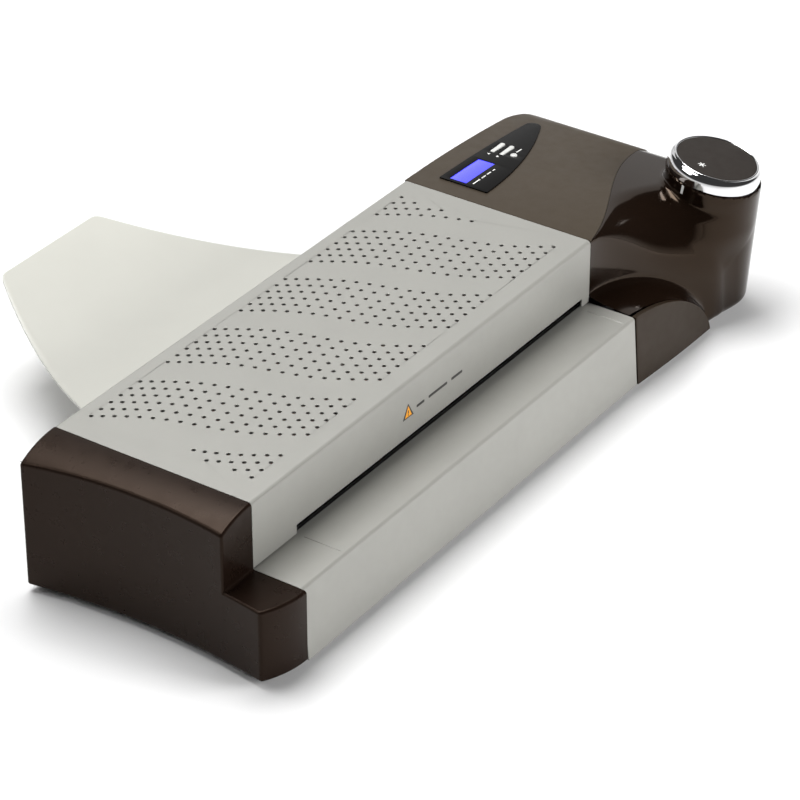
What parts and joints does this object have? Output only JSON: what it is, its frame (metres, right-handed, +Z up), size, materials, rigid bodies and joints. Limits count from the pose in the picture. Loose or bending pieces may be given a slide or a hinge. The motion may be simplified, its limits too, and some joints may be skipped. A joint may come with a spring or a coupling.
{
  "type": "pouch laminator",
  "caption": "Desk-top pouch laminator: long steel body with vent holes, moulded ends, tower with a round dial, display panel and rear exit tray.",
  "frame": {"origin": "middle of the footprint of the whole machine with its tray, at the bottom of the rubber feet", "axes": "+X along the machine from the left end cap to the dial, +Y from the feed table at the front to the exit tray at the back, +Z up"},
  "size_m": [0.607, 0.397, 0.1267],
  "materials": {
    "silver_paint": "satin, fine powder texture",
    "steel_sheet": "zinc plated",
    "steel_rod": "turned",
    "cap_plastic": "satin, dark brown",
    "housing_plastic": "satin metallic brown",
    "pod_plastic": "high gloss, dark brown",
    "panel_plastic": "high gloss, black",
    "display": "backlit blue",
    "key_plastic": "satin, off-white",
    "mark_white": "printed",
    "mark_amber": "printed",
    "board": "solder mask",
    "black_plastic": "moulded",
    "dial_chrome": "mirror",
    "dial_face": "fine matte",
    "foot_rubber": "matte",
    "silicone": "smooth",
    "gear_nylon": "moulded nylon",
    "pinion_brass": "cut",
    "bronze": "sintered",
    "heater_aluminium": "extruded",
    "heater_mica": "mica laminate",
    "fuse_ceramic": "glazed",
    "motor_steel": "plated",
    "tray_plastic": "satin, pale grey"
  },
  "bodies": {
    "machine": {"base_pan": "steel_sheet", "rubber_feet": "foot_rubber", "feed_table": "silver_paint", "top_cover": "silver_paint", "caution_mark": "mark_amber", "left_end_cap": "cap_plastic", "right_end_housing": "housing_plastic", "pod_cover": "pod_plastic", "index_mark": "mark_white", "control_panel": "panel_plastic", "lcd_window": "display", "lcd_module": "black_plastic", "control_board": "board", "key_switches": "black_plastic", "rotary_switch": "black_plastic", "left_side_frame": "steel_sheet", "right_side_frame": "steel_sheet", "tie_rods": "steel_rod", "tie_rod_screws": "steel_rod", "frame_screws": "steel_rod", "cover_screws": "steel_rod", "foot_screws": "steel_rod", "roller_bushes": "bronze", "pressure_springs": "steel_rod", "idler_pin": "steel_rod", "motor_bracket": "steel_sheet", "motor": "motor_steel", "lower_guides": "steel_sheet", "upper_guides": "steel_sheet", "lower_heater_plate": "heater_aluminium", "upper_heater_plate": "heater_aluminium", "heater_strips": "heater_mica", "thermostat": "black_plastic", "thermal_fuse": "fuse_ceramic", "power_board": "board", "power_inlet": "black_plastic"},
    "dial": {"dial_spindle": "steel_rod", "dial_hub": "black_plastic", "dial_ring": "dial_chrome", "dial_insert": "dial_face"},
    "upper_key_body": {"upper_key": "key_plastic"},
    "lower_key_body": {"lower_key": "key_plastic"},
    "mode_button_body": {"mode_button": "key_plastic"},
    "idler": {"idler_gear": "gear_nylon"},
    "pinion": {"motor_pinion": "pinion_brass"},
    "tray": {"exit_tray": "tray_plastic"},
    "front_lower_roller": {"front_lower_shaft": "steel_rod", "front_lower_sleeve": "silicone", "front_lower_gear": "gear_nylon"},
    "front_upper_roller": {"front_upper_shaft": "steel_rod", "front_upper_sleeve": "silicone", "front_upper_gear": "gear_nylon"},
    "rear_lower_roller": {"rear_lower_shaft": "steel_rod", "rear_lower_sleeve": "silicone", "rear_lower_gear": "gear_nylon"},
    "rear_upper_roller": {"rear_upper_shaft": "steel_rod", "rear_upper_sleeve": "silicone", "rear_upper_gear": "gear_nylon"}
  },
  "joints": [
    {"name": "dial_turn", "type": "hinge", "parent": "machine", "child": "dial", "pos_m": [0.2683, -0.1632, 0.1086], "axis": [0.0856, -0.1874, 0.9785], "range_deg": [-270, 0]},
    {"name": "upper_key_press", "type": "slide", "parent": "machine", "child": "upper_key_body", "axis": [0, 0, -1], "range_m": [0, 0.0006], "stiffness_N_per_m": 1500, "springref_m": -0.0002},
    {"name": "lower_key_press", "type": "slide", "parent": "machine", "child": "lower_key_body", "axis": [0, 0, -1], "range_m": [0, 0.0006], "stiffness_N_per_m": 1500, "springref_m": -0.0002},
    {"name": "mode_button_press", "type": "slide", "parent": "machine", "child": "mode_button_body", "axis": [0, 0, -1], "range_m": [0, 0.0006], "stiffness_N_per_m": 1500, "springref_m": -0.0002},
    {"name": "front_lower_roller_spin", "type": "hinge", "parent": "machine", "child": "front_lower_roller", "pos_m": [-0.0675, -0.1005, 0.0469], "axis": [1, 0, 0], "continuous": true},
    {"name": "front_upper_roller_spin", "type": "hinge", "parent": "machine", "child": "front_upper_roller", "pos_m": [-0.0675, -0.1005, 0.0771], "axis": [1, 0, 0], "continuous": true},
    {"name": "rear_lower_roller_spin", "type": "hinge", "parent": "machine", "child": "rear_lower_roller", "pos_m": [-0.0675, -0.0405, 0.0469], "axis": [1, 0, 0], "continuous": true},
    {"name": "rear_upper_roller_spin", "type": "hinge", "parent": "machine", "child": "rear_upper_roller", "pos_m": [-0.0675, -0.0405, 0.0771], "axis": [1, 0, 0], "continuous": true},
    {"name": "idler_spin", "type": "hinge", "parent": "machine", "child": "idler", "pos_m": [0.1365, -0.0705, 0.0469], "axis": [1, 0, 0], "continuous": true},
    {"name": "pinion_spin", "type": "hinge", "parent": "machine", "child": "pinion", "pos_m": [0.1365, -0.11959, 0.02781], "axis": [1, 0, 0], "continuous": true},
    {"name": "tray_slide", "type": "slide", "parent": "machine", "child": "tray", "axis": [0, 1, 0], "range_m": [0, 0.02]}
  ],
  "couplings": [
    {"joint": "front_upper_roller_spin", "follows": "front_lower_roller_spin", "ratio": -1},
    {"joint": "idler_spin", "follows": "front_lower_roller_spin", "ratio": -1},
    {"joint": "rear_lower_roller_spin", "follows": "front_lower_roller_spin", "ratio": 1},
    {"joint": "rear_upper_roller_spin", "follows": "front_lower_roller_spin", "ratio": -1},
    {"joint": "pinion_spin", "follows": "front_lower_roller_spin", "ratio": -1.25}
  ]
}
